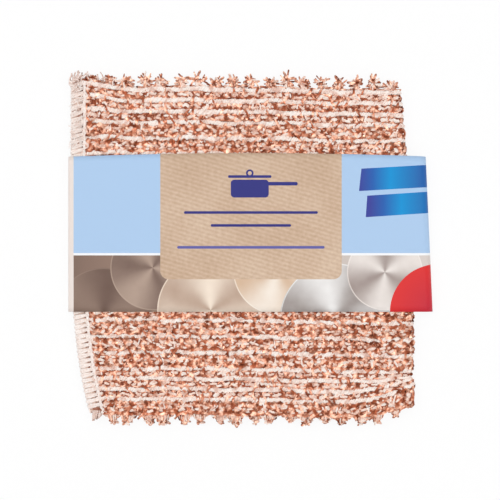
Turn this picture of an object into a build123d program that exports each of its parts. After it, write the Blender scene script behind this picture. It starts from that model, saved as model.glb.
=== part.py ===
"""Folded copper and cotton scouring cloth in a sliding card sleeve.

Millimetres. The cloth lies flat, +Z up, its rows run along X, and the origin is
on the table under the middle of the whole part.
"""

from build123d import *
import os

# Card sleeve
sleeve_width = 163.8
band_height = 71.1
band_offset = 7.85
band_end_drop = 1.6
band_mouth_draw = 3.1
card = 0.4
glue = 0.1
flap_width = 29.5
panel_setback = 2.4
crease_radius = 1.0
bend_radius = 3.9
glue_margin = 3.0
sleeve_clearance = 0.3
fold_slack = 8.8

# Cloth: two layers of one knitted sheet, folded at the right
copper_thickness = 3.2
chain_thickness = 2.5
flank_height = 1.6
layer_gap = 0.3
chain_width = 1.6
top_hem_pitch = 4.95
upper_pitch = 6.98
middle_pitch = 7.47
lower_pitch = 7.27
bottom_hem_pitch = 4.6
bottom_border = 5.95
fold_top_draw = 6.3
fold_bottom_draw = 5.4
seam_bottom_draw = 11.2
widest_place_share = 0.764
slant_start_share = 0.359

# Knotted copper tufts along the top and bottom edges
tuft_pitch = 7.65
tuft_width = 5.0
top_tuft_height = 6.4
bottom_tuft_height = 6.25
tuft_strand_share = 0.24
top_tuft_height_shares = [0.82, 0.94, 0.78, 1.0, 0.9, 0.84, 0.97, 0.88, 0.8, 0.95, 0.86, 1.0, 0.83]
bottom_tuft_height_shares = [0.9, 0.8, 1.0, 0.86, 0.95, 0.82, 0.92, 1.0, 0.84, 0.9, 0.79, 0.96]
tuft_width_shares = [1.0, 0.86, 1.12, 0.94, 1.06, 0.9, 1.15]
tuft_place_shares = [0.0, 0.1, -0.08, 0.05, -0.12, 0.08, -0.04, 0.12]

# Overlocked seam along the left edge
seam_width = 5.6
seam_bead = 0.9
seam_tab = 1.15
looper_thread = 0.7
looper_gauge = 1.25
looper_pitch = 2.25
looper_slant = 0.8
needle_gauge = 0.7
tab_overlap = 0.5

# Heights
flap_top = card + glue + card
pad_bottom = flap_top + sleeve_clearance
pad_thickness = copper_thickness + layer_gap + copper_thickness
mid_height = pad_bottom + pad_thickness / 2
layer_rise = (copper_thickness + layer_gap) / 2
sleeve_inside_top = pad_bottom + pad_thickness + sleeve_clearance
sleeve_top = sleeve_inside_top + card
tab_low = layer_gap / 2
tab_high = tab_low + seam_tab
thread_high = tab_high + looper_thread

# Rows from the top edge down: each zone has its pitch and its number of copper rows
row_zones = [
    (top_hem_pitch, 3),
    (upper_pitch, 2),
    (middle_pitch, 10),
    (lower_pitch, 3),
    (bottom_hem_pitch, 3),
]
pitches = [pitch for pitch, count in row_zones for _ in range(count)]
knit_length = chain_width + sum(pitches) + bottom_border
cloth_length = top_tuft_height + knit_length + bottom_tuft_height
knit_top = cloth_length / 2 - top_tuft_height
knit_bottom = knit_top - knit_length
cloth_left = card + sleeve_clearance - sleeve_width / 2
cloth_right = sleeve_width / 2 - card - fold_slack


def left_edge(y):
    """Outer edge of the overlocked seam: straight, then drawn in towards the bottom corner."""
    start = cloth_length / 2 - slant_start_share * cloth_length
    share = max(0, (start - y) / (start + cloth_length / 2))
    return cloth_left + seam_bottom_draw * share**3


def right_edge(y):
    """Outside of the fold, widest a little below the middle."""
    widest = cloth_length / 2 - widest_place_share * cloth_length
    if y > widest:
        return cloth_right - fold_top_draw * ((y - widest) / (cloth_length / 2 - widest)) ** 2
    return cloth_right - fold_bottom_draw * ((widest - y) / (widest + cloth_length / 2)) ** 2


def crowned_face(x, y_low, y_high, z, thickness):
    """Section of a row in one layer: flat flanks that meet the next row, crowned above and below."""
    middle = (y_low + y_high) / 2
    flank = flank_height / 2
    low = ThreePointArc((x, y_low, z - flank), (x, middle, z - thickness / 2), (x, y_high, z - flank))
    rise = Line((x, y_high, z - flank), (x, y_high, z + flank))
    high = ThreePointArc((x, y_high, z + flank), (x, middle, z + thickness / 2), (x, y_low, z + flank))
    fall = Line((x, y_low, z + flank), (x, y_low, z - flank))
    return Face(Wire([low, rise, high, fall]))


def slab(points, z_low, z_high):
    """A flat plate with this outline in plan."""
    outline = Polyline(*[(x, y, z_low) for x, y in points], close=True)
    return extrude(Face(Wire(outline.edges())), amount=z_high - z_low, dir=(0, 0, 1))


def row(y_low, y_high, thickness):
    """One row: front layer, round the fold, back layer, with its ends flattened under the seam."""
    middle = (y_low + y_high) / 2
    bend_x = right_edge(middle) - layer_rise - thickness / 2
    start_x = max(left_edge(y_low), left_edge(y_high)) + seam_width + needle_gauge
    face = crowned_face(bend_x, y_low, y_high, mid_height + layer_rise, thickness)
    front = extrude(face, amount=bend_x - start_x, dir=(-1, 0, 0))
    bend = revolve(face, axis=Axis((bend_x, middle, mid_height), (0, 1, 0)), revolution_arc=180)
    back = front.moved(Location((0, 0, -2 * layer_rise)))
    plan = [
        (left_edge(y_low) + seam_bead, y_low),
        (start_x + tab_overlap, y_low),
        (start_x + tab_overlap, y_high),
        (left_edge(y_high) + seam_bead, y_high),
    ]
    front_tab = slab(plan, mid_height + tab_low, mid_height + tab_high)
    back_tab = slab(plan, mid_height - tab_high, mid_height - tab_low)
    return front + bend + back + front_tab + back_tab


def tuft(x, y_base, height, way, z, width):
    """A thick end loop that stands on the outermost row: two legs and a half ring."""
    strand = tuft_strand_share * width
    ring = width / 2 - strand
    leg = height - ring - strand
    foot = Plane(origin=(x - ring, y_base, z), z_dir=(0, way, 0)) * Circle(strand)
    left_leg = extrude(foot, amount=leg)
    right_leg = left_leg.moved(Location((2 * ring, 0, 0)))
    crown_axis = Axis((x, y_base + way * leg, z), (0, 0, -way))
    crown = revolve(foot.moved(Location((0, way * leg, 0))), axis=crown_axis, revolution_arc=180)
    return left_leg + crown + right_leg


def tuft_line(y_base, full_height, way, z, height_shares, shift):
    """All the tufts of one edge of one layer."""
    left = left_edge(y_base) + seam_width + tuft_pitch / 2
    right = right_edge(y_base) - tuft_pitch / 2
    count = int((right - left) / tuft_pitch) + 1
    step = (right - left) / (count - 1)
    made = []
    for i in range(count):
        place = tuft_place_shares[(i + shift) % len(tuft_place_shares)] * tuft_pitch
        width = tuft_width_shares[(i + shift) % len(tuft_width_shares)] * tuft_width
        height = height_shares[(i + shift) % len(height_shares)] * full_height
        made.append(tuft(left + i * step + place, y_base, height, way, z, width))
    return Compound(children=made)


def seam_stations():
    """Heights on the page where the seam's outline may turn: every row boundary."""
    stations = [knit_top, knit_top - chain_width]
    for pitch in pitches:
        stations.append(stations[-1] - (pitch - chain_width))
        stations.append(stations[-1] - chain_width)
    stations.append(knit_bottom)
    return stations


def seam_strip(inner, outer, z_low, z_high):
    """A strip that follows the seam between two distances from its outer edge."""
    stations = seam_stations()
    down = [(left_edge(y) + outer, y) for y in stations]
    up = [(left_edge(y) + inner, y) for y in reversed(stations)]
    return slab(down + up, z_low, z_high)


def looper(way, slant):
    """One looper thread: a bead on the cut edge and a ladder of slanted rungs on one face."""
    half = looper_gauge / 2
    pad = looper_gauge + looper_slant
    teeth = []
    for i in range(int((knit_length - pad) / looper_pitch)):
        y_out = knit_top - pad - i * looper_pitch
        y_in = y_out + slant
        teeth.append((left_edge(y_out + half) + seam_bead, y_out + half))
        teeth.append((left_edge(y_in + half) + seam_width, y_in + half))
        teeth.append((left_edge(y_in - half) + seam_width, y_in - half))
        teeth.append((left_edge(y_out - half) + seam_bead, y_out - half))
    spine = [(left_edge(y), y) for y in reversed(seam_stations())]
    start = (left_edge(knit_top) + seam_bead, knit_top)
    end = (left_edge(knit_bottom) + seam_bead, knit_bottom)
    ladder = slab([start, *teeth, end, *spine], tab_high, thread_high)
    bead = seam_strip(0, seam_bead, 0, tab_high)
    thread = (ladder + bead).moved(Location((0, 0, mid_height)))
    return thread if way > 0 else thread.mirror(Plane.XY.offset(mid_height))


def strip_face(outer_points, inner_points, outer_radii, inner_radii):
    """Section of a bent card strip: its outer side one way, its inner side back again."""
    outer = FilletPolyline(*outer_points, radius=outer_radii)
    inner = FilletPolyline(*inner_points, radius=inner_radii)
    first_cap = Line(outer_points[-1], inner_points[0])
    last_cap = Line(inner_points[-1], outer_points[0])
    return Face(Wire([*outer.edges(), first_cap, *inner.edges(), last_cap]))


def crease_section(y):
    """Glue flap on the inside of the back, left crease, left half of the front panel."""
    left = -sleeve_width / 2
    flap_end = left + flap_width
    outer = [(flap_end, y, card + glue), (left, y, card + glue), (left, y, sleeve_top), (0, y, sleeve_top)]
    inner = [
        (0, y, sleeve_inside_top),
        (left + card, y, sleeve_inside_top),
        (left + card, y, flap_top),
        (flap_end, y, flap_top),
    ]
    return strip_face(outer, inner, crease_radius, crease_radius - card)


def bend_section(y):
    """Right half of the front panel, loose right bend, right half of the back panel."""
    right = sleeve_width / 2
    outer = [(0, y, sleeve_top), (right, y, sleeve_top), (right, y, 0), (0, y, 0)]
    inner = [
        (0, y, card),
        (right - card, y, card),
        (right - card, y, sleeve_inside_top),
        (0, y, sleeve_inside_top),
    ]
    return strip_face(outer, inner, bend_radius, bend_radius - card)


def band_outline():
    """Plan of the band: straight lower edge, upper edge that falls away to both sides."""
    low = band_offset - band_height / 2
    high = band_offset + band_height / 2
    half = sleeve_width / 2
    base = Line((-half, low, 0), (half, low, 0))
    right = Line((half, low, 0), (half, high - band_end_drop, 0))
    top = ThreePointArc((half, high - band_end_drop, 0), (0, high, 0), (-half, high - band_end_drop, 0))
    left = Line((-half, high - band_end_drop, 0), (-half, low, 0))
    return Face(Wire([base, right, top, left]))


def card_sleeve():
    """One closed strip of card, whose right bend leans in towards the upper edge."""
    low = band_offset - band_height / 2
    high = band_offset + band_height / 2
    lean = Vector(-band_mouth_draw, band_height, 0)
    panel_end = panel_setback - sleeve_width / 2
    wrap = extrude(crease_section(low), amount=band_height, dir=(0, 1, 0))
    panel = slab([(panel_end, low), (0, low), (0, high), (panel_end, high)], 0, card)
    bend = extrude(bend_section(low), amount=lean.length, dir=lean)
    return (wrap + panel + bend) & extrude(band_outline(), amount=sleeve_top, dir=(0, 0, 1))


def glue_strip():
    left = -sleeve_width / 2 + panel_setback + glue_margin
    right = -sleeve_width / 2 + flap_width - glue_margin
    low = band_offset - band_height / 2 + glue_margin
    high = band_offset + band_height / 2 - band_end_drop - glue_margin
    return slab([(left, low), (right, low), (right, high), (left, high)], card, card + glue)


def rows():
    """Cotton chains and copper rows, counted from the top edge."""
    made = {"cotton_chain_01": row(knit_top - chain_width, knit_top, chain_thickness)}
    y = knit_top - chain_width
    for i, pitch in enumerate(pitches, start=1):
        copper_low = y - (pitch - chain_width)
        made[f"copper_row_{i:02d}"] = row(copper_low, y, copper_thickness)
        y = copper_low - chain_width
        made[f"cotton_chain_{i + 1:02d}"] = row(y, copper_low, chain_thickness)
    made[f"copper_row_{len(pitches) + 1:02d}"] = row(knit_bottom, y, copper_thickness)
    return made


def tufts():
    front = mid_height + layer_rise
    back = mid_height - layer_rise
    top = (knit_top, top_tuft_height, 1)
    bottom = (knit_bottom, bottom_tuft_height, -1)
    return {
        "top_tufts_front": tuft_line(*top, front, top_tuft_height_shares, 0),
        "top_tufts_back": tuft_line(*top, back, top_tuft_height_shares, 3),
        "bottom_tufts_front": tuft_line(*bottom, front, bottom_tuft_height_shares, 1),
        "bottom_tufts_back": tuft_line(*bottom, back, bottom_tuft_height_shares, 5),
    }


def overlock():
    """Upper looper on the front, lower looper on the back, needle thread along both inner sides."""
    upper = looper(1, looper_slant)
    lower = looper(-1, -looper_slant)
    reach = seam_width + needle_gauge
    front = seam_strip(seam_width, reach, mid_height + tab_high, mid_height + thread_high)
    back = seam_strip(seam_width, reach, mid_height - thread_high, mid_height - tab_high)
    return {
        "overlock_upper_looper": upper,
        "overlock_lower_looper": lower,
        "overlock_needle_thread": Compound(children=[front, back]),
    }


os.makedirs("parts", exist_ok=True)

nodes = {**rows(), **tufts(), **overlock(), "card_sleeve": card_sleeve(), "glue_strip": glue_strip()}

for name, shape in nodes.items():
    export_step(shape, f"parts/{name}.step")
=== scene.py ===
"""Looks of a folded copper and cotton scouring cloth in its card sleeve.

Metres, in the frame of the solids: the cloth lies flat, +Z up, its rows run along X.
"""

import math
import random

import bmesh
import bpy
from mathutils import Matrix, Vector


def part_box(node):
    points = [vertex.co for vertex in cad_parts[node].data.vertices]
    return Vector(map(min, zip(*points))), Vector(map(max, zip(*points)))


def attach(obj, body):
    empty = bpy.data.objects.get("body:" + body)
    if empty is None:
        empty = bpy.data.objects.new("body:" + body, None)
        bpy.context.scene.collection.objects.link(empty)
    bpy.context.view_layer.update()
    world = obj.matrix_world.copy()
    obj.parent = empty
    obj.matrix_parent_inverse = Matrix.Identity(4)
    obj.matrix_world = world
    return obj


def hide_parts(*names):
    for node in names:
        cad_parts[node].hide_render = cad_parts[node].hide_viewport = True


bl_info = {
    "name": "Copper scouring cloth",
    "version": (1, 0, 0),
    "blender": (4, 5, 0),
    "location": "3D View > Sidebar > Scrubber",
    "description": "Builds a folded copper and cotton scouring cloth in a card sleeve",
    "category": "Object",
}

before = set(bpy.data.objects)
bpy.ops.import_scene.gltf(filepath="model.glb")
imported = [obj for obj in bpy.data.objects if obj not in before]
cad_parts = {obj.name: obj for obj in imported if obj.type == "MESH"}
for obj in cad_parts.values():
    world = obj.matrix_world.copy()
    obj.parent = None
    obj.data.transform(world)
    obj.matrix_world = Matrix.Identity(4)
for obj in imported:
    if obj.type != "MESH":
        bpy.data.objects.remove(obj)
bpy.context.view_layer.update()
MM = 0.001
BOX = {name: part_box(name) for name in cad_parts}

# Rows in order from the top edge
COPPER = sorted(name for name in BOX if name.startswith("copper_row_"))
CHAINS = sorted(name for name in BOX if name.startswith("cotton_chain_"))
TUFTS = ["top_tufts_front", "top_tufts_back", "bottom_tufts_front", "bottom_tufts_back"]

# The two layers, from the rows' boxes
PAD_LOW = min(BOX[name][0].z for name in COPPER)
PAD_HIGH = max(BOX[name][1].z for name in COPPER)
MID = (PAD_LOW + PAD_HIGH) / 2
LAYER_GAP = 0.3 * MM
LAYER = (PAD_HIGH - PAD_LOW - LAYER_GAP) / 2
RISE = (LAYER + LAYER_GAP) / 2
FLANK = 0.8 * MM
CHAIN_PROUD = -0.08 * MM
KNIT_TOP = BOX[CHAINS[0]][1].y
KNIT_LOW = BOX[COPPER[-1]][0].y
KNIT_HEIGHT = KNIT_TOP - KNIT_LOW

# How far the rows stray at the lower right corner, at the upper left one and towards the fold
HEM_RISE = 10.5 * MM
HEAD_RISE = 2.2 * MM
SAG = 1.7 * MM

# The seam, from the overlock's boxes, and where it starts to draw in towards its lower corner
SEAM_WIDTH = 5.6 * MM
SEAM_BEAD = 0.9 * MM
SEAM_FACE = 7.1 * MM
SEAM_LEFT = BOX["overlock_upper_looper"][0].x
SEAM_LOW = BOX["overlock_upper_looper"][1].x - SEAM_WIDTH
SEAM_HIGH_Z = BOX["overlock_upper_looper"][1].z
SEAM_BEND = KNIT_TOP - 51 * MM

# Where the row of top tufts opens, and how far the next tuft stands off
TUFT_GAP = 3.5 * MM
TUFT_GAP_WIDTH = 2.0 * MM

# The sleeve, and the height under which threads pass below its card
SLEEVE_LOW, SLEEVE_HIGH = BOX["card_sleeve"]
UNDER_CARD = SLEEVE_HIGH.z - 0.45 * MM


def size_property(name, description, default):
    """A length whose default is in millimetres."""
    return bpy.props.FloatProperty(
        name=name, description=description, default=default * MM, unit="LENGTH"
    )


def colour_property(name, description, *default):
    return bpy.props.FloatVectorProperty(
        name=name, description=description, default=default, size=3, subtype="COLOR"
    )


class ScrubberSizes(bpy.types.PropertyGroup):
    """Sizes of the ribbon, the yarn, the threads and the card."""

    ribbon_width: size_property("Ribbon width", "Width of the flat copper ribbon", 1.2)
    ribbon_thickness: size_property("Ribbon thickness", "Thickness of the ribbon", 0.12)
    loop_advance: size_property("Loop advance", "Distance from one copper loop to the next", 2.7)
    yarn_radius: size_property("Yarn radius", "Radius of the cotton yarn", 0.48)
    stitch_pitch: size_property("Stitch pitch", "Length of one chain stitch", 2.3)
    float_pitch: size_property("Float pitch", "Mean distance between the cotton floats", 8.0)
    seam_pitch: size_property("Seam pitch", "Length of one overlock stitch", 2.25)
    thread_radius: size_property("Thread radius", "Radius of the sewing thread", 0.45)
    card_thickness: size_property("Card thickness", "Thickness of the sleeve's card", 0.4)


class ScrubberColours(bpy.types.PropertyGroup):
    """Colours of the materials and of the print."""

    copper: colour_property("Copper", "Bare copper", 0.5, 0.198, 0.12)
    # Dark patches of the ribbon: partly aged copper, partly painted shade
    aged_and_shade: colour_property("Aged copper", "Darkened copper", 0.27, 0.07, 0.033)
    cotton: colour_property("Cotton", "Undyed cotton", 1.0, 0.85, 0.77)
    thread: colour_property("Thread", "Sewing thread of the seam", 1.0, 0.91, 0.86)
    sky: colour_property("Light blue", "Ground of the print", 0.43, 0.61, 0.85)
    kraft: colour_property("Kraft", "Brown paper panel", 0.63, 0.45, 0.32)
    red: colour_property("Red", "Corner disc of the print", 0.74, 0.03, 0.03)


def linear(*screen):
    """A screen colour from 0 to 255 as linear light, with full alpha."""
    shares = [level / 255 for level in screen]
    return (*(v / 12.92 if v <= 0.04045 else ((v + 0.055) / 1.055) ** 2.4 for v in shares), 1)


def smooth(t):
    """Eases from 0 to 1."""
    t = max(0.0, min(1.0, t))
    return t * t * (3 - 2 * t)


def eased(value, start, end):
    """Goes from 0 to 1 while a coordinate goes from start to end, both in millimetres."""
    return smooth((value - start * MM) / ((end - start) * MM))


# Materials


class Nodes:
    """Shorthand for the node tree of a material or of a world."""

    def __init__(self, name, world=False):
        self.block = (bpy.data.worlds if world else bpy.data.materials).new(name)
        self.block.use_nodes = True
        self.tree = self.block.node_tree
        self.shader = self.tree.nodes["Background" if world else "Principled BSDF"]

    def add(self, kind, inputs=(), **settings):
        node = self.tree.nodes.new(kind)
        for key, value in settings.items():
            setattr(node, key, value)
        for key, value in dict(inputs).items():
            if isinstance(value, bpy.types.NodeSocket):
                self.tree.links.new(value, node.inputs[key])
            else:
                node.inputs[key].default_value = value
        return node

    def math(self, operation, a, b=0.0, c=0.0):
        return self.add("ShaderNodeMath", {0: a, 1: b, 2: c}, operation=operation).outputs[0]

    def mix(self, factor, a, b):
        return self.add("ShaderNodeMix", {0: factor, 6: a, 7: b}, data_type="RGBA").outputs[2]

    def ramp(self, value, *stops):
        node = self.add("ShaderNodeValToRGB", {0: value})
        elements = node.color_ramp.elements
        while len(elements) < len(stops):
            elements.new(1)
        for element, (place, colour) in zip(elements, stops):
            element.position = place
            element.color = colour
        return node.outputs[0]

    def noise(self, vector, scale, detail=2.0, roughness=0.5):
        inputs = {"Vector": vector, "Scale": scale, "Detail": detail, "Roughness": roughness}
        return self.add("ShaderNodeTexNoise", inputs).outputs[0]

    def place(self):
        return self.add("ShaderNodeTexCoord").outputs["Object"]

    def bump(self, height, strength, distance):
        inputs = {"Height": height, "Strength": strength, "Distance": distance}
        self.link("Normal", self.add("ShaderNodeBump", inputs).outputs[0])

    def link(self, socket, value):
        self.tree.links.new(value, self.shader.inputs[socket])

    def set(self, **values):
        for key, value in values.items():
            self.shader.inputs[key.replace("_", " ")].default_value = value


# Relief of fine twisted fibres: its noise, strength and depth
FIBRES = (5200, 3, 0.7), 0.5, 0.12 * MM


def mottled_material(name, patches, stops, relief, **settings):
    """A material coloured by one noise and raised by another, or by the same one."""
    n = Nodes(name)
    place = n.place()
    shade = n.noise(place, *patches)
    n.link("Base Color", n.ramp(shade, *stops))
    grain, strength, depth = relief
    n.bump(n.noise(place, *grain) if grain else shade, strength, depth)
    n.set(**settings)
    return n.block


def copper_material(colours, name="copper_ribbon", shade_and_age=0.0):
    """Bright flat ribbon with dark patches, partly aged copper and partly painted shade, and pale patches
    of painted highlight; the last argument moves the patches' limits up, so more of the ribbon takes the
    dark colour.
    """
    n = Nodes(name)
    place = n.place()
    patches = n.noise(place, 420, 2)
    bright = (*colours.copper, 1)
    aged_and_shade = (*colours.aged_and_shade, 1)
    # Pale stop: painted highlight on the ribbon
    pale = linear(248, 199, 174)
    n.link("Base Color", n.ramp(patches, (0.4 + shade_and_age, aged_and_shade), (0.5 + shade_and_age, bright), (0.64 + shade_and_age, pale)))
    n.link("Roughness", n.math("MULTIPLY_ADD", n.noise(place, 900, 2), 0.3, 0.2))
    n.bump(n.noise(place, 1500, 2), 0.2, 0.1 * MM)
    n.set(Metallic=1.0)
    return n.block


def packed_material():
    """Ribbon deep inside a row, coloured dark as painted shade of its own loops."""
    stops = (0.35, linear(92, 38, 20)), (0.62, linear(168, 86, 56))
    relief = None, 0.9, 0.4 * MM
    return mottled_material("packed_copper", (900, 4, 0.7), stops, relief, Metallic=0.55, Roughness=0.45)


def cotton_material(colours):
    """Soft twisted cotton with fine fibres."""
    cream = (*colours.cotton, 1)
    stops = (0.36, linear(232, 194, 178)), (0.5, cream), (0.66, linear(255, 249, 243))
    soft = {"Roughness": 0.9, "Sheen_Weight": 0.25, "Sheen_Roughness": 0.5}
    return mottled_material("cream_cotton", (300, 4, 0.6), stops, FIBRES, **soft)


def rubbed_material():
    """Cotton between the copper loops, stained by them."""
    stops = (0.34, linear(214, 160, 138)), (0.48, linear(250, 218, 202)), (0.62, linear(255, 243, 233))
    soft = {"Roughness": 0.9, "Sheen_Weight": 0.2, "Sheen_Roughness": 0.5}
    return mottled_material("rubbed_cotton", (330, 4, 0.6), stops, FIBRES, **soft)


def thread_material(colours):
    """Spun sewing thread, whiter and smoother than the knitted yarn."""
    stops = (0.3, linear(246, 226, 216)), (0.6, (*colours.thread, 1))
    relief = (6000, 2, 0.6), 0.4, 0.1 * MM
    return mottled_material("overlock_thread", (700, 3), stops, relief, Roughness=0.85, Sheen_Weight=0.2)


def seam_material():
    """Cut edge inside the seam: cotton with copper showing between the stitches, darker than the thread as
    painted shade in the gaps.
    """
    # Darker stops: copper between the stitches and painted shade in the gaps
    stops = (0.4, linear(160, 98, 72)), (0.49, linear(226, 196, 180)), (0.7, linear(246, 228, 217))
    relief = (2200, 3, 0.6), 0.7, 0.3 * MM
    return mottled_material("seam_body", (430, 3, 0.6), stops, relief, Roughness=0.9)


def frayed_material():
    """Cut yarn ends, greyer than the thread as painted shade, with darker copper-brown patches."""
    # Greyer stops: painted shade on the thin ends
    stops = (0.34, linear(168, 132, 116)), (0.46, linear(232, 206, 194)), (0.7, linear(250, 232, 224))
    return mottled_material("frayed_yarn", (380, 3, 0.6), stops, FIBRES, Roughness=0.9)


def ground_material():
    """Flat knitted ground under the loops: fine courses of yarn and ribbon, in dark browns that are partly
    painted shade between the loops.
    """
    n = Nodes("knit_ground")
    place = n.place()
    xyz = n.add("ShaderNodeSeparateXYZ", {0: place})
    across, down = (
        n.math("SINE", n.math("MULTIPLY", xyz.outputs[axis], 2 * math.pi / pitch))
        for axis, pitch in (("X", 1.6 * MM), ("Y", 1.1 * MM))
    )
    knit = n.math("MULTIPLY_ADD", n.math("MULTIPLY", across, down), 0.22, n.noise(place, 800, 3))
    # Dark browns of the knit: partly painted shade in the gaps under the loops
    n.link("Base Color", n.ramp(knit, (0.35, linear(104, 48, 26)), (0.6, linear(188, 116, 84))))
    n.bump(knit, 0.8, 0.4 * MM)
    n.set(Metallic=0.3, Roughness=0.6)
    return n.block


def glue_material():
    """Clear amber adhesive that has soaked into the card."""
    stops = (0.35, linear(214, 200, 168)), (0.7, linear(236, 228, 206))
    relief = (900, 2), 0.3, 0.1 * MM
    return mottled_material("dried_glue", (260, 3), stops, relief, Roughness=0.35)


def board_material():
    """Uncoated inside and cut edges of the card."""
    stops = (0.35, linear(226, 224, 218)), (0.65, linear(242, 241, 237))
    return mottled_material("bare_board", (1400, 4, 0.6), stops, (None, 0.15, 0.08 * MM), Roughness=0.8)


class Print(Nodes):
    """The sleeve's print, drawn on its UV map: metres along the strip and up the page."""

    def __init__(self, name):
        super().__init__(name)
        self.uv = self.add("ShaderNodeUVMap", uv_map="strip").outputs[0]
        parts = self.add("ShaderNodeSeparateXYZ", {0: self.uv})
        self.u = parts.outputs["X"]
        self.v = parts.outputs["Y"]

    def apart(self, value, middle):
        return self.math("ABSOLUTE", self.math("SUBTRACT", value, middle))

    def box(self, left, right, low, high, radius=0.0, slope=0.0, lean=0.0):
        """1 inside a rounded box, in millimetres, whose edges may slope and whose sides may lean."""
        left, right, low, high, radius = (value * MM for value in (left, right, low, high, radius))
        v = self.math("MULTIPLY_ADD", self.u, -slope, self.v)
        u = self.math("MULTIPLY_ADD", self.v, -lean, self.u)
        past_x = self.math("SUBTRACT", self.apart(u, (left + right) / 2), (right - left) / 2 - radius)
        past_y = self.math("SUBTRACT", self.apart(v, (low + high) / 2), (high - low) / 2 - radius)
        corner_x = self.math("POWER", self.math("MAXIMUM", past_x, 0.0), 2.0)
        corner_y = self.math("POWER", self.math("MAXIMUM", past_y, 0.0), 2.0)
        corner = self.math("SQRT", self.math("ADD", corner_x, corner_y))
        inner = self.math("MINIMUM", self.math("MAXIMUM", past_x, past_y), 0.0)
        return self.math("LESS_THAN", self.math("ADD", corner, inner), radius)

    def polar(self, x, y):
        """Distance from a centre, and direction round it."""
        across = self.math("SUBTRACT", self.u, x)
        up = self.math("SUBTRACT", self.v, y)
        squares = self.math("ADD", self.math("POWER", across, 2.0), self.math("POWER", up, 2.0))
        return self.math("SQRT", squares), self.math("ARCTAN2", up, across)

    def ring(self, reach, radius, width):
        """1 on a ring, in millimetres, where reach is the distance from its centre."""
        return self.math("LESS_THAN", self.apart(reach, radius * MM), width * MM / 2)


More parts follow.
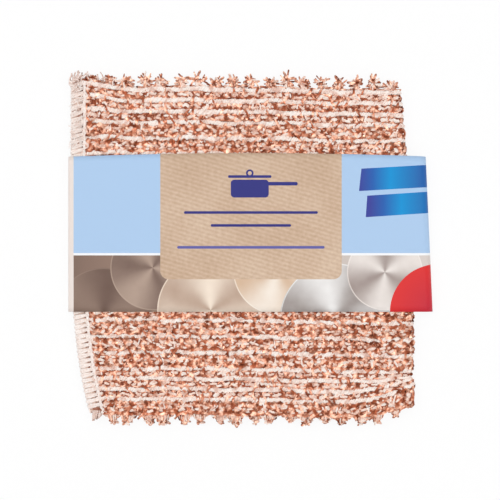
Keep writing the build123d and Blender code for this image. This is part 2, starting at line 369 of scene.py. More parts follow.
def print_material(colours):
    """Printed front: blue ground, kraft panel, brushed steel discs, two labels and a corner disc."""
    p = Print("printed_card")
    sky = (*colours.sky, 1)
    kraft = (*colours.kraft, 1)
    red = (*colours.red, 1)
    white = linear(250, 251, 253)
    line_y = -1.9 * MM
    line_width = 1.0 * MM

    # Brushed steel discs that overlap in a row: place, radius, turn of the gloss, light, dark
    steel_span = 165 * MM
    glosses_round = 3.0
    steel = p.ramp(
        p.math("MULTIPLY_ADD", p.u, 1 / steel_span, 0.5),
        (0.0, linear(128, 104, 92)),
        (0.35, linear(176, 146, 128)),
        (0.7, linear(204, 192, 184)),
        (1.0, linear(222, 212, 206)),
    )
    grain = p.noise(p.uv, 140, 2)
    for x, y, radius, phase, light, dark in (
        (-66, -30, 22, 0.4, (150, 126, 112), (104, 80, 70)),
        (-44, -8, 19, 1.9, (188, 164, 148), (112, 88, 78)),
        (-18, -27, 24, 3.0, (252, 236, 218), (180, 150, 130)),
        (12, -9, 20, 0.9, (252, 242, 230), (210, 174, 140)),
        (38, -31, 25, 2.2, (250, 248, 246), (138, 124, 118)),
        (60, -10, 17, 0.2, (246, 238, 232), (146, 128, 122)),
    ):
        reach, turn = p.polar(x * MM, y * MM)
        gloss = p.math("SINE", p.math("MULTIPLY_ADD", turn, glosses_round, phase))
        gloss = p.math("MULTIPLY_ADD", grain, 0.25, p.math("MULTIPLY_ADD", gloss, 0.34, 0.38))
        face = p.mix(gloss, linear(*dark), linear(*light))
        rim = p.math("MULTIPLY", p.ring(reach, radius - 0.3, 0.5), 0.6)
        face = p.mix(rim, face, linear(*light))
        steel = p.mix(p.math("LESS_THAN", reach, radius * MM), steel, face)
    colour = p.mix(p.math("LESS_THAN", p.v, line_y), sky, steel)
    colour = p.mix(p.math("LESS_THAN", p.apart(p.v, line_y), line_width / 2), colour, white)

    # Kraft panel with its ribs, a saucepan and plain rules
    rib_pitch = 1.9 * MM
    rib_slope = 0.3
    ribs = p.math("MULTIPLY", p.math("MULTIPLY_ADD", p.u, rib_slope, p.v), 2 * math.pi / rib_pitch)
    fibres = p.math("ADD", p.noise(p.uv, 600, 2), p.noise(p.uv, 40, 1))
    tone = p.math("MULTIPLY_ADD", p.math("SINE", ribs), 0.08, p.math("MULTIPLY", fibres, 0.5))
    paper = p.ramp(tone, (0.2, linear(190, 158, 130)), (0.5, kraft), (0.8, linear(224, 200, 176)))
    navy = linear(48, 50, 128)
    lilac = linear(98, 98, 168)
    for *shape, ink in (
        (-9, 8, 23.5, 31.5, 1.6, navy),
        (-10.2, 9.2, 32.3, 33.5, 0.5, navy),
        (7, 21, 28.9, 30.5, 0.8, navy),
        (-30, 30, 16.2, 17.4, 0.6, navy),
        (-18, 18, 10.4, 11.6, 0.6, navy),
        (-33, 33, 0.6, 1.8, 0.6, lilac),
    ):
        paper = p.mix(p.box(*shape), paper, ink)
    knob = p.ring(p.polar(-0.5 * MM, 34.4 * MM)[0], 1.3, 0.8)
    paper = p.mix(knob, paper, navy)
    colour = p.mix(p.box(-40.6, 40.7, -13.1, 60, 3.8), colour, paper)

    # Two bare labels and the corner disc
    label_span = 28
    label_end = 95
    for left, low, high, slope, lean in (
        (45.5, 23.6, 33.6, 0.0575, 0.11),
        (50.4, 11.3, 20.9, 0.066, 0.07),
    ):
        shine = p.ramp(
            p.math("MULTIPLY_ADD", p.u, 1 / (label_span * MM), -(left + 3) / label_span),
            (0.0, linear(58, 66, 154)),
            (0.22, linear(34, 96, 178)),
            (0.5, linear(0, 148, 214)),
            (1.0, linear(34, 98, 172)),
        )
        colour = p.mix(p.box(left, label_end, low, high, 0.0, slope, lean), colour, shine)
    disc_radius = 21.3 * MM
    painted_shade_radius = 20 * MM
    reach, _ = p.polar(83.6 * MM, SLEEVE_LOW.y)
    # The disc darkens towards the sleeve's right corner: painted shade of the bend
    disc = p.mix(p.math("MULTIPLY", reach, 1 / painted_shade_radius), linear(196, 40, 62), red)
    colour = p.mix(p.math("LESS_THAN", reach, disc_radius), colour, disc)

    # The crease and everything past the right bend are bare
    bare = linear(238, 226, 219)
    p.link("Base Color", p.mix(p.box(-79.4, 90.0, -60, 60), bare, colour))
    p.bump(p.noise(p.uv, 1500, 3), 0.06, 0.05 * MM)
    p.set(Roughness=0.5, Specular_IOR_Level=0.25)
    return p.block


# Objects, meshes and sections


def linked(name, data):
    """A new object in the scene."""
    obj = bpy.data.objects.new(name, data)
    bpy.context.scene.collection.objects.link(obj)
    return obj


def finished_mesh(bm, name):
    mesh = bpy.data.meshes.new(name)
    bm.to_mesh(mesh)
    bm.free()
    return mesh


def moved(bm, new, step):
    """Moves what an extrusion made, and gives it back."""
    verts = [e for e in new if isinstance(e, bmesh.types.BMVert)]
    bmesh.ops.translate(bm, verts=verts, vec=step)
    return new


def bar_end(bm, place, halves, axis):
    """First section of a bar: a flattened disc, turned up about an axis."""
    bmesh.ops.create_circle(bm, cap_ends=True, segments=12, radius=1)
    flat = Matrix.Translation(place) @ Matrix.Diagonal((*halves, 1))
    bmesh.ops.transform(bm, matrix=flat @ Matrix.Rotation(math.pi / 2, 4, axis), verts=bm.verts)
    return list(bm.faces) + list(bm.edges) + list(bm.verts)


def carried_on(bm, end, step):
    """Extrudes a bar's end by one step."""
    return moved(bm, bmesh.ops.extrude_face_region(bm, geom=end)["geom"], step)


def thickened(obj, thickness):
    """Gives a sheet its thickness, half to each side."""
    wall = obj.modifiers.new("thickness", "SOLIDIFY")
    wall.thickness = thickness
    wall.offset = 0
    return wall


# Curves swept to meshes


def swept_mesh(name, lines, profile, resolution=2, twist="Z_UP"):
    """A mesh swept along smooth lines of (point, tilt, scale), with a closed profile."""
    outline = bpy.data.curves.new(name + "_profile", "CURVE")
    ring = outline.splines.new("POLY")
    ring.points.add(len(profile) - 1)
    for point, (x, y) in zip(ring.points, profile):
        point.co = (x, y, 0, 1)
    ring.use_cyclic_u = True
    bevel = linked(name + "_profile", outline)
    curve = bpy.data.curves.new(name, "CURVE")
    curve.dimensions = "3D"
    curve.twist_mode = twist
    curve.bevel_mode = "OBJECT"
    curve.bevel_object = bevel
    curve.use_fill_caps = True
    curve.resolution_u = resolution
    for line in lines:
        spline = curve.splines.new("NURBS")
        spline.points.add(len(line) - 1)
        for point, (place, tilt, scale) in zip(spline.points, line):
            point.co = (*place, 1)
            point.tilt = tilt
            point.radius = scale
        spline.order_u = 3
        spline.use_endpoint_u = True
        spline.use_smooth = True
    holder = linked(name, curve)
    depsgraph = bpy.context.evaluated_depsgraph_get()
    mesh = bpy.data.meshes.new_from_object(holder.evaluated_get(depsgraph))
    bpy.data.objects.remove(holder)
    bpy.data.objects.remove(bevel)
    bpy.data.curves.remove(curve)
    bpy.data.curves.remove(outline)
    return mesh


def ribbon_profile(sizes, share=1.0):
    half = share * sizes.ribbon_width / 2
    thin = sizes.ribbon_thickness / 2
    return [(-half, -thin), (half, -thin), (half, thin), (-half, thin)]


def round_profile(radius, sides):
    turn = 2 * math.pi / sides
    return [(radius * math.cos(i * turn), radius * math.sin(i * turn)) for i in range(sides)]


def dress(node, suffix, parts, materials):
    """Joins meshes, each with its own material, to one object in the place of a node of the cloth."""
    bm = bmesh.new()
    for i, mesh in enumerate(parts):
        start = len(bm.faces)
        bm.from_mesh(mesh)
        bm.faces.ensure_lookup_table()
        for face in bm.faces[start:]:
            face.material_index = i
            face.smooth = True
        bpy.data.meshes.remove(mesh)
    whole = finished_mesh(bm, node + suffix)
    whole.set_sharp_from_angle(angle=math.radians(62))
    for material in materials:
        whole.materials.append(material)
    obj = linked(node + suffix, whole)
    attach(obj, "cloth")
    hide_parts(node)


# The lie of the cloth


def seam_edge(y):
    """Outer edge of the seam: straight, then drawn in towards the bottom corner."""
    share = max(0.0, (SEAM_BEND - y) / (SEAM_BEND - KNIT_LOW))
    return SEAM_LEFT + (SEAM_LOW - SEAM_LEFT) * share**3


def drift(x, y):
    """How far the rows stray along Y: slow waves, a rise at two corners and a sag towards the fold."""
    wave = 0.26 * MM * math.sin(x / (19 * MM) + 0.7) + 0.16 * MM * math.sin(x / (6.5 * MM) + y / (11 * MM))
    hem = eased(x, 45, 79) * eased(y, -52, -68) * (1 - 0.75 * eased(y, -68, -79))
    head = eased(x, -58, -73) * eased(y, 55, 69)
    sag = eased(x, -45, 50) * smooth((y - KNIT_LOW + 6 * MM) / (6 * MM))
    return wave + HEM_RISE * hem + HEAD_RISE * head - SAG * sag


def push(x, y):
    """How far the rows swell out at the fold, most at its lower corner."""
    return eased(x, 35, 71) * (0.6 + 3.2 * eased(y, -58, -70)) * MM


class Fold:
    """The middle surface of one row: front layer, round the fold, back layer."""

    def __init__(self, node):
        low, high = BOX[node]
        self.low = low.y
        self.high = high.y
        self.width = high.y - low.y
        self.centre = (low.y + high.y) / 2
        self.crown = (high.z - low.z) / 2 - RISE
        self.start = max(seam_edge(low.y), seam_edge(high.y)) + SEAM_WIDTH
        self.bend = high.x - RISE - self.crown
        self.run = self.bend - self.start
        self.length = 2 * self.run + math.pi * RISE

    def place(self, s, y, lift):
        """A point s along the fold and lift above the middle of the layer, less near the seam."""
        if s < self.run:
            x = self.start + s
            z = MID + RISE + lift * smooth(0.55 + 0.3 * (s / MM))
        elif s > self.run + math.pi * RISE:
            x = self.start + self.length - s
            z = MID - RISE - lift * smooth(0.55 + 0.3 * (self.length - s) / MM)
        else:
            turn = (s - self.run) / RISE
            x = self.bend + (RISE + lift) * math.sin(turn)
            z = MID + (RISE + lift) * math.cos(turn)
        return Vector((x + push(x, y), y + drift(x, y), z))

    def at_bend(self, s):
        """Grows to 1 round the fold."""
        far = self.run + math.pi * RISE
        growth = 1.5 * MM
        return smooth((s - self.run) / growth) * smooth((far - s) / growth)

    def top(self, y):
        """How far the crown rises above the middle of the layer at this height on the page."""
        share = min(1.0, abs(y - self.centre) / (self.width / 2))
        return FLANK + (self.crown - FLANK) * (1 - share * share)


def folded_bar(name, fold, width, height):
    """A soft flat bar inside a row: front layer, round the fold, back layer."""
    bm = bmesh.new()
    steps = 20
    end = bar_end(bm, (fold.start, fold.centre, MID + RISE), (1, width / 2, height / 2), "Y")
    for _ in range(steps):
        end = carried_on(bm, end, (fold.run / steps, 0, 0))
    centre = (fold.bend, fold.centre, MID)
    end = bmesh.ops.spin(bm, geom=end, cent=centre, axis=(0, 1, 0), angle=math.pi, steps=8)["geom_last"]
    for _ in range(steps):
        end = carried_on(bm, end, (-fold.run / steps, 0, 0))
    bmesh.ops.remove_doubles(bm, verts=bm.verts, dist=MM / 1000)
    bmesh.ops.recalc_face_normals(bm, faces=bm.faces)
    for vert in bm.verts:
        x, y = vert.co.xy
        vert.co.x += push(x, y)
        vert.co.y += drift(x, y)
    return finished_mesh(bm, name)


# Copper rows


def looped_line(fold, rng, sizes, centre, reach, points=4.4):
    """Crinkled loops along one lane of a row, over both layers and the fold."""
    line = []
    stray = 1.3 * MM
    overrun = 0.9 * MM
    angle = rng.uniform(0, 2 * math.pi)
    tilt = rng.uniform(-0.6, 0.6)
    size = 1.0
    rise = 0.7
    s = -overrun
    while s < fold.length + overrun:
        step = 2 * math.pi / points * rng.uniform(0.75, 1.25)
        angle += step
        s += sizes.loop_advance * step / (2 * math.pi)
        size += 0.5 * (rng.uniform(0.75, 1.25) - size)
        rise += 0.6 * (rng.uniform(0.4, 1.05) - rise)
        tilt += 0.6 * (rng.uniform(-0.9, 0.9) - tilt)
        along = s + reach * 0.95 * size * math.cos(angle)
        spare = rng.uniform(0.7, 2.2) * MM
        along = max(spare, min(fold.length - spare, along))
        y = centre + reach * size * math.sin(angle)
        y = max(fold.low - stray, min(fold.high + stray, y))
        lift = (fold.top(y) - sizes.ribbon_width * 0.2) * rise
        if abs(y - fold.centre) > fold.width / 2 + 0.2 * MM and rng.random() < 0.7:
            lift = fold.crown + 0.1 * MM
        lift *= 1 + fold.at_bend(along) * rng.uniform(0.2, 0.9)
        line.append((fold.place(along, y, lift), tilt, rng.uniform(0.85, 1.2)))
    return line


# Points of a crossing ribbon: how far past the row's edge and how high, in millimetres
CROSSING = ((-1.7, 1.0), (-0.6, 1.3), (0.5, 1.38), (1.5, 1.3), (2.4, 0.9))


def crossings(fold, rng):
    """Short lengths of ribbon that slip over the chain on either side of a row."""
    lines = []
    s = rng.uniform(1.5, 6) * MM
    while s < fold.length - 4 * MM:
        side = rng.choice((-1, 1))
        edge = fold.low if side < 0 else fold.high
        drawn = rng.uniform(-1.1, 1.1)
        line = []
        for past, lift in CROSSING:
            past += rng.uniform(-0.3, 0.3)
            spot = fold.place(s + past * drawn * MM, edge + side * past * MM, lift * MM)
            line.append((spot, rng.uniform(-0.4, 0.4), rng.uniform(0.6, 1.0)))
        lines.append(line)
        s += rng.uniform(2, 13) * MM
    return lines


def surfacing_yarn(fold, rng, sizes, centre, spread, dips):
    """A yarn that runs under the copper loops and comes up between them in short lumps."""
    line = []
    margin = 1.2 * MM
    inset = 0.4 * MM
    s = margin
    y = centre
    while s < fold.length - margin:
        lumps = rng.choice((1, 2, 2, 3))
        for high in [True] * lumps + [False] * rng.choice(dips):
            y = centre + 0.5 * (y - centre) + rng.gauss(0, spread)
            y = max(fold.low + inset, min(fold.high - inset, y))
            lift = fold.top(y) - sizes.yarn_radius * (1.0 if high else 3.2)
            line.append((fold.place(s, y, lift), 0, rng.uniform(0.9, 1.9) if high else 0.8))
            s += rng.uniform(0.6, 1.2) * MM
    return line


def copper_row(node, index, sizes, materials):
    """Loops of ribbon in lanes, yarns between them and a packed core; lanes are shares of the width."""
    rng = random.Random(1000 + index)
    fold = Fold(node)
    wide = fold.width > 4 * MM
    few = (1, 1, 2, 2)
    many = (1, 2, 3, 3, 4)
    if wide:
        ribbon_lanes = (-0.27, -0.27, 0.27, 0.27)
        reach = 0.28
        yarn_lanes = ((0.0, 0.06, few), (-0.24, 0.08, many), (0.24, 0.08, many))
    else:
        ribbon_lanes = (0.0, 0.0, 0.0)
        reach = 0.49
        yarn_lanes = ((0.0, 0.15, many), (0.0, 0.15, many))
    ribbons = []
    for lane in ribbon_lanes:
        centre = fold.centre + lane * fold.width
        ribbons.append(looped_line(fold, rng, sizes, centre, fold.width * reach))
    if wide:
        ribbons.append(looped_line(fold, rng, sizes, fold.centre, fold.width * 0.42, 5.5))
    ribbons += crossings(fold, rng)
    yarns = []
    for lane, spread, dips in yarn_lanes:
        centre = fold.centre + lane * fold.width
        yarns.append(surfacing_yarn(fold, rng, sizes, centre, fold.width * spread, dips))
    parts = [
        swept_mesh(node + "_ribbon", ribbons, ribbon_profile(sizes)),
        swept_mesh(node + "_yarn", yarns, round_profile(sizes.yarn_radius, 4), twist="MINIMUM"),
        # Core coloured dark: painted shade deep in the row
        folded_bar(node + "_core", fold, fold.width, LAYER * 0.6),
    ]
    dress(node, "_loops", parts, materials)


# Cotton chains


def wander(wave, s):
    """A chain's own small waves along Y."""
    return 0.26 * MM * math.sin(s / (2.9 * MM) + wave) + 0.24 * MM * math.sin(s / (7.1 * MM) + 2.3 * wave)


def chain_line(fold, rng, sizes, side, wave):
    """One of the two legs of the chain stitches, weaving over the other."""
    line = []
    pitch = sizes.stitch_pitch
    overrun = 0.8 * MM
    thick = 1.0
    stitch = 1.0
    spread = 0.5
    for i in range(int((fold.length + 2 * overrun) / pitch) * 4):
        turn = i * math.pi / 2
        s = (i + 0.5) * pitch / 4 + 0.28 * pitch * math.sin(2 * turn) * side - overrun
        spread += 0.5 * (rng.uniform(0.25, 0.8) - spread)
        y = fold.centre + wander(wave, s) + side * fold.width * spread * math.cos(turn)
        lift = fold.crown + CHAIN_PROUD - sizes.yarn_radius * (1.15 + 0.7 * math.sin(turn) * side)
        if i % 4 == 0:
            stitch = rng.uniform(0.6, 1.8)
        thick += 0.6 * (stitch * rng.uniform(0.8, 1.2) - thick)
        lift *= 1 + 0.25 * fold.at_bend(s)
        line.append((fold.place(s, y + rng.uniform(-0.2, 0.2) * MM, lift), 0, thick))
    return line


def float_lines(fold, below, rng, sizes):
    """Yarn that crosses the copper row below, from this chain to the next."""
    lines = []
    s = rng.uniform(1, 3) * MM
    end = min(fold.length, below.length) - 2 * MM
    steps = 6
    while s < end:
        drawn = rng.gauss(0, 2.0) * MM
        bow = rng.uniform(-1.6, 1.6) * MM
        stout = rng.uniform(0.9, 1.7)
        reach = rng.choice((0.35, 0.5, 0.7, 1.0))
        line = []
        for k in range(steps):
            share = reach * k / (steps - 1)
            y = fold.centre + (below.low - 0.4 * MM - fold.centre) * share
            arch = 1 - abs(2 * share - 1)
            lift = below.top(y) - sizes.yarn_radius * stout * (2.0 - 0.9 * arch)
            along = s + drawn * share + bow * math.sin(math.pi * share) + rng.uniform(-0.15, 0.15) * MM
            line.append((below.place(along, y, lift), 0, stout * rng.uniform(0.8, 1.15)))
        lines.append(line)
        s += sizes.float_pitch * rng.expovariate(1.0) + 0.5 * MM
    return lines


def cotton_chain(node, index, sizes, materials):
    """A chain's two legs, its floats over the copper row below and a core."""
    rng = random.Random(2000 + index)
    fold = Fold(node)
    wave = rng.uniform(0, 6)
    lines = [chain_line(fold, rng, sizes, side, wave) for side in (1, -1)]
    lines += float_lines(fold, Fold(COPPER[index]), rng, sizes)
    parts = [
        swept_mesh(node + "_yarn", lines, round_profile(sizes.yarn_radius, 5), twist="MINIMUM"),
        folded_bar(node + "_core", fold, fold.width * 0.8, 2 * fold.crown * 0.6),
    ]
    dress(node, "_stitches", parts, materials)


# Knotted tufts


def solids_of(node):
    """Boxes of the separate solids in a node, from left to right."""
    bm = bmesh.new()
    bm.from_mesh(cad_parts[node].data)
    bmesh.ops.remove_doubles(bm, verts=bm.verts, dist=MM / 1000)
    waiting = set(bm.verts)
    boxes = []
    while waiting:
        stack = [waiting.pop()]
        found = []
        while stack:
            vert = stack.pop()
            found.append(vert.co.copy())
            for edge in vert.link_edges:
                other = edge.other_vert(vert)
                if other in waiting:
                    waiting.remove(other)
                    stack.append(other)
        low = Vector([min(p[i] for p in found) for i in range(3)])
        high = Vector([max(p[i] for p in found) for i in range(3)])
        boxes.append((low, high))
    bm.free()
    return sorted(boxes, key=lambda box: box[0].x)


WEDGE = (-1.0, -0.68, -0.36, -0.1, 0.15, 0.4, 0.7, 1.0)
PETAL = ((0.0, 0.25), (0.4, 0.9), (0.85, 1.0), (1.08, 0.05), (0.8, -0.95), (0.35, -0.75), (-0.05, -0.2))


def petal(root, tip, side, rng):
    """One loop of ribbon: out to the tip, over and back, by shares of the way out and of the side."""
    line = []
    for out, across in PETAL:
        spot = root + (tip - root) * out + side * across * rng.uniform(0.8, 1.2)
        spot.z += rng.uniform(-0.5, 0.5) * MM
        line.append((spot, rng.uniform(-1.1, 1.1), rng.uniform(0.8, 1.15)))
    return line


def starry_knot(heart, way, side, out, rng, arms):
    """Loops of ribbon round a knot's heart, up to side along the edge and up to out across it."""
    lines = []
    first = rng.uniform(0, 2 * math.pi)
    for k in range(arms):
        turn = first + 2 * math.pi * (k + rng.uniform(-0.5, 0.5)) / arms
        way_out = Vector((math.sin(turn), way * math.cos(turn), 0))
        reach = rng.uniform(0.5, 1.22) / math.hypot(way_out.x / side, way_out.y / out)
        sideways = Vector((way_out.y, -way_out.x, 0))
        foot = heart + sideways * side * rng.uniform(-0.4, 0.4)
        lines.append(petal(foot, heart + way_out * reach, sideways * rng.uniform(0.05, 0.42) * MM, rng))
    return lines


def parted(x):
    """Where a top tuft stands: those just past the opening in the edge are drawn away from it."""
    if x < TUFT_GAP:
        return x
    return x + TUFT_GAP_WIDTH * math.exp((TUFT_GAP - x) / (9 * MM))


def wedge(root, way, half, height, rng):
    """Loops side by side, the middle ones longest, that lean together towards a tip."""
    lines = []
    for share in WEDGE:
        share += rng.uniform(-0.1, 0.1)
        foot = root + Vector((share * half, rng.uniform(-0.4, 0.4) * MM, 0))
        reach = height * max(0.3, 0.95 - 0.6 * abs(share)) * rng.uniform(0.8, 1.2)
        way_out = Vector((-0.35 * share, way, 0)).normalized()
        across = Vector((way_out.y, -way_out.x, 0)) * rng.uniform(0.4, 0.9) * MM
        lines.append(petal(foot, foot + way_out * reach, across, rng))
    return lines


def stem(foot, heart, rng):
    """A strand from the knit's edge to a knot's heart."""
    line = []
    for share in (0.0, 0.35, 0.7, 1.0):
        bend = Vector((rng.uniform(-0.8, 0.8) * MM, 0, rng.uniform(-0.3, 0.6) * MM))
        line.append((foot.lerp(heart, share) + bend, rng.uniform(-0.8, 0.8), rng.uniform(0.8, 1.3)))
    return line


def tuft_group(node, index, sizes, materials):
    """Knots of ribbon and yarn along one edge of one layer: stars at the top, wedges at the bottom."""
    rng = random.Random(3000 + index)
    way = 1 if BOX[node][1].y > 0 else -1
    base = KNIT_TOP if way > 0 else KNIT_LOW
    ribbons = []
    yarns = []
    for low, high in solids_of(node):
        middle = (low + high) / 2
        stand = parted(middle.x) if way > 0 else middle.x
        root = Vector((stand + rng.uniform(-0.5, 0.5) * MM, base - way * 0.8 * MM, middle.z))
        half = (high.x - low.x) / 2
        size = rng.uniform(0.8, 1.12)
        if way > 0:
            last = eased(middle.x, 58, 66)
            height = (high.y - low.y + 0.2 * MM - drift(middle.x, base)) * size * (1 - 0.5 * last)
            heart = Vector((root.x, base + 0.48 * height, root.z))
            lines = starry_knot(heart, way, half * size + 0.8 * MM, 0.52 * height, rng, arms=11)
            for hand in (-1, 1):
                foot = root + Vector((hand * 0.8 * MM, rng.uniform(0.9, 1.5) * MM, 0))
                reach = hand * (half + rng.uniform(0.0, 1.2) * MM)
                tip = foot + Vector((reach, rng.uniform(-0.2, 0.9) * MM, 0))
                lines.append(petal(foot, tip, Vector((0, 0.25 * MM, 0)), rng))
            soft_share = 0.22 + 0.32 * last
        else:
            height = (high.y - low.y - 3 * MM * eased(middle.x, 62, 69)) * size
            heart = Vector((root.x, base - 0.66 * height, root.z))
            lines = wedge(root, way, half + 1.1 * MM, height + 0.3 * MM, rng)
            lines += starry_knot(heart, way, 0.85 * half * size, 0.32 * height, rng, arms=6)
            soft_share = 0.45
        lines += [stem(root, heart, rng) for _ in range(3)]
        for line in lines:
            (yarns if rng.random() < soft_share else ribbons).append(line)
        knot = []
        for k in range(8):
            turn = k * 2.3 + rng.uniform(-0.3, 0.3)
            x = math.cos(turn) * 1.1 * MM
            y = math.sin(turn) * 1.0 * MM
            spot = heart + Vector((x, y, rng.uniform(-0.9, 0.9) * MM))
            knot.append((spot, rng.uniform(-1.2, 1.2), rng.uniform(0.8, 1.1)))
        ribbons.append(knot)
    for line in ribbons + yarns:
        for spot, _, _ in line:
            spot.y += drift(spot.x, spot.y)
    share = 0.5 if way > 0 else 0.62
    parts = [
        swept_mesh(node + "_ribbon", ribbons, ribbon_profile(sizes, share), resolution=3),
        swept_mesh(node + "_yarn", yarns, round_profile(sizes.yarn_radius * 0.75, 5)),
    ]
    dress(node, "_knots", parts, materials)


# Overlocked seam

LOOSE_ENDS = 36
TAIL_ENDS = 24
FIBRES_ACROSS = 80


def seam_point(inward, y, z):
    """A point of the seam, inward from its outer edge, that strays like the rows."""
    x = seam_edge(y) + inward
    return Vector((x, y + drift(x, y), z))


def stitch_quarters(sizes):
    """Quarters of the stitches down the seam: number and height on the page."""
    steps = int(KNIT_HEIGHT / sizes.seam_pitch) * 4
    for i in range(steps + 1):
        yield i, KNIT_TOP - KNIT_HEIGHT * i / steps


def looper_line(sizes, way, rng):
    """Looper thread: out to the cut edge and back to the needle line, stitch after stitch."""
    radius = sizes.thread_radius
    inner = SEAM_FACE - 0.3 * MM
    high = (SEAM_HIGH_Z - MID) - radius * 0.8
    over = (UNDER_CARD - 1.1 * radius - MID) / high
    # Way inward, share of the stitch, share of the height and thickness
    legs = (
        (inner, 0.1, over, 0.9),
        (inner * 0.72, 0.12, 1.0, 1.0),
        (inner * 0.45, 0.06, 1.0, 1.35),
        (0.9 * MM, 0.0, 0.85, 1.5),
        (0.2 * MM, 0.24, 0.12, 1.0),
        (0.95 * MM, 0.5, 0.85, 1.5),
        (inner * 0.45, 0.46, 1.0, 1.35),
        (inner * 0.72, 0.4, 1.0, 1.0),
        (inner * 0.97, 0.42, over, 0.9),
    )
    line = []
    y = KNIT_TOP - 0.7 * MM
    while y > KNIT_LOW + sizes.seam_pitch:
        for inward, down, rise, stout in legs:
            at = y - sizes.seam_pitch * down
            slant = way * 0.9 * MM * (inward / inner - 0.5) * 2
            spot = Vector((seam_edge(at) + inward, at + slant, MID + way * high * rise))
            spot.x += rng.uniform(-0.12, 0.12) * MM
            spot.y += drift(spot.x, spot.y) + rng.uniform(-0.1, 0.1) * MM
            line.append((spot, 0, stout * rng.uniform(0.88, 1.12)))
        y -= sizes.seam_pitch * rng.uniform(0.94, 1.06)
    return line


def edge_line(sizes, first_turn, rng):
    """One of the interlocked threads that cover the cut edge."""
    line = []
    for i, at in stitch_quarters(sizes):
        turn = i * math.pi / 2 + first_turn
        inward = (0.62 + 0.3 * math.sin(turn)) * MM
        spot = seam_point(inward, at, MID + 0.7 * MM * math.cos(turn))
        line.append((spot, 0, rng.uniform(0.8, 1.05)))
    return line


def needle_line(sizes, way, rng):
    """Needle thread: short sunken stitches along the inner side."""
    line = []
    high = (UNDER_CARD - MID) - sizes.thread_radius * 1.6
    for i, at in stitch_quarters(sizes):
        dip = (1.0, 0.98, 0.86, 0.98)[i % 4]
        inward = SEAM_FACE + ((-0.5, -0.1, -0.5, -0.9)[i % 4] + rng.uniform(-0.2, 0.2)) * MM
        line.append((seam_point(inward, at, MID + way * high * dip), 0, rng.uniform(0.9, 1.5)))
    return line


def loose_ends(rng):
    """Short frayed thread ends at the seam's upper corner."""
    lines = []
    for _ in range(LOOSE_ENDS):
        inward = (0.2 + 14.8 * rng.random() ** 1.8) * MM
        spot = seam_point(inward, KNIT_TOP - 1.0 * MM, MID + rng.uniform(-0.4, 2.2) * MM)
        heading = Vector((rng.uniform(-0.9, 0.9), 1, rng.uniform(-0.1, 0.25)))
        line = []
        for _ in range(6):
            line.append((spot.copy(), 0, rng.uniform(0.8, 1.5)))
            heading += Vector((rng.uniform(-0.9, 0.9), rng.uniform(-0.45, 0.35), rng.uniform(-0.3, 0.2)))
            spot += heading.normalized() * rng.uniform(0.8, 1.6) * MM
            spot.x = max(spot.x, SEAM_LEFT - 0.4 * MM)
        lines.append(line)
    return lines


def seam_tail(rng):
    """Thread ends that hang past the seam's lower corner, longest at its outer side."""
    lines = []
    for _ in range(TAIL_ENDS):
        inward = rng.uniform(0.9, 6.6) * MM
        height = MID + rng.uniform(-1.2, 1.8) * MM
        spot = Vector((seam_edge(KNIT_LOW) + inward, KNIT_LOW + 1.2 * MM, height))
        spot.y += drift(spot.x, spot.y)
        length = (6.4 * MM - 0.5 * inward) * rng.uniform(0.7, 1.0)
        lean = -0.12 * (inward / MM - 2.5)
        line = []
        for _ in range(6):
            line.append((spot.copy(), 0, rng.uniform(1.1, 2.0)))
            heading = Vector((lean + rng.uniform(-0.5, 0.5), -1, rng.uniform(-0.3, 0.2)))
            spot += heading.normalized() * length / 5
        lines.append(line)
    return lines


def seam_fuzz(rng):
    """Short fibres that lie across the stitches above the sleeve, no higher than its card."""
    lines = []
    for _ in range(FIBRES_ACROSS):
        y = rng.uniform(SLEEVE_HIGH.y + 2.5 * MM, KNIT_TOP)
        spot = Vector((seam_edge(y) + rng.uniform(0.1, 6.4) * MM, y + drift(SEAM_LEFT, y), UNDER_CARD))
        heading = Vector((rng.uniform(-1, 1), rng.uniform(-1, 1), 0))
        line = []
        for _ in range(5):
            spot.z = UNDER_CARD - rng.uniform(0.24, 0.6) * MM
            line.append((spot.copy(), 0, rng.uniform(0.5, 0.85)))
            heading += Vector((rng.uniform(-0.9, 0.9), rng.uniform(-0.9, 0.9), 0))
            spot += heading.normalized() * rng.uniform(0.4, 0.8) * MM
            spot.x = max(spot.x, SEAM_LEFT - 0.4 * MM)
        lines.append(line)
    return lines


def seam_body():
    """The cut edges of both layers, pressed together inside the stitches."""
    bm = bmesh.new()
    width = SEAM_FACE - SEAM_BEAD
    height = 2.9 * MM
    first = (seam_edge(KNIT_TOP) + SEAM_BEAD / 2 + width / 2, KNIT_TOP, MID)
    end = bar_end(bm, first, (width / 2, 1, height / 2), "X")
    steps = 72
    down = KNIT_HEIGHT / steps
    y = KNIT_TOP
    for _ in range(steps):
        end = carried_on(bm, end, (seam_edge(y - down) - seam_edge(y), -down, 0))
        y -= down
    bmesh.ops.recalc_face_normals(bm, faces=bm.faces)
    for vert in bm.verts:
        vert.co.y += drift(vert.co.x, vert.co.y)
    return finished_mesh(bm, "seam_body")


# Knitted ground


def ground_sheet(material):
    """The thin folded knit that carries the loops."""
    inset = 0.004
    bm = bmesh.new()
    bmesh.ops.create_grid(bm, x_segments=90, y_segments=60, size=0.5)
    rows = sorted((Fold(name) for name in COPPER + CHAINS), key=lambda fold: fold.centre)
    for vert in bm.verts:
        y = KNIT_LOW + KNIT_HEIGHT * (inset + (1 - 2 * inset) * (vert.co.y + 0.5))
        fold = min(rows, key=lambda row: abs(row.centre - y))
        spare = fold.start - seam_edge(y) - SEAM_WIDTH + 0.2 * MM
        s = -spare + (fold.length + 2 * spare) * (vert.co.x + 0.5)
        vert.co = fold.place(s, y, 0.0)
    mesh = finished_mesh(bm, "knit_ground")
    mesh.materials.append(material)
    obj = linked("knit_ground", mesh)
    thickened(obj, 0.5 * MM)
    return obj


# Card sleeve


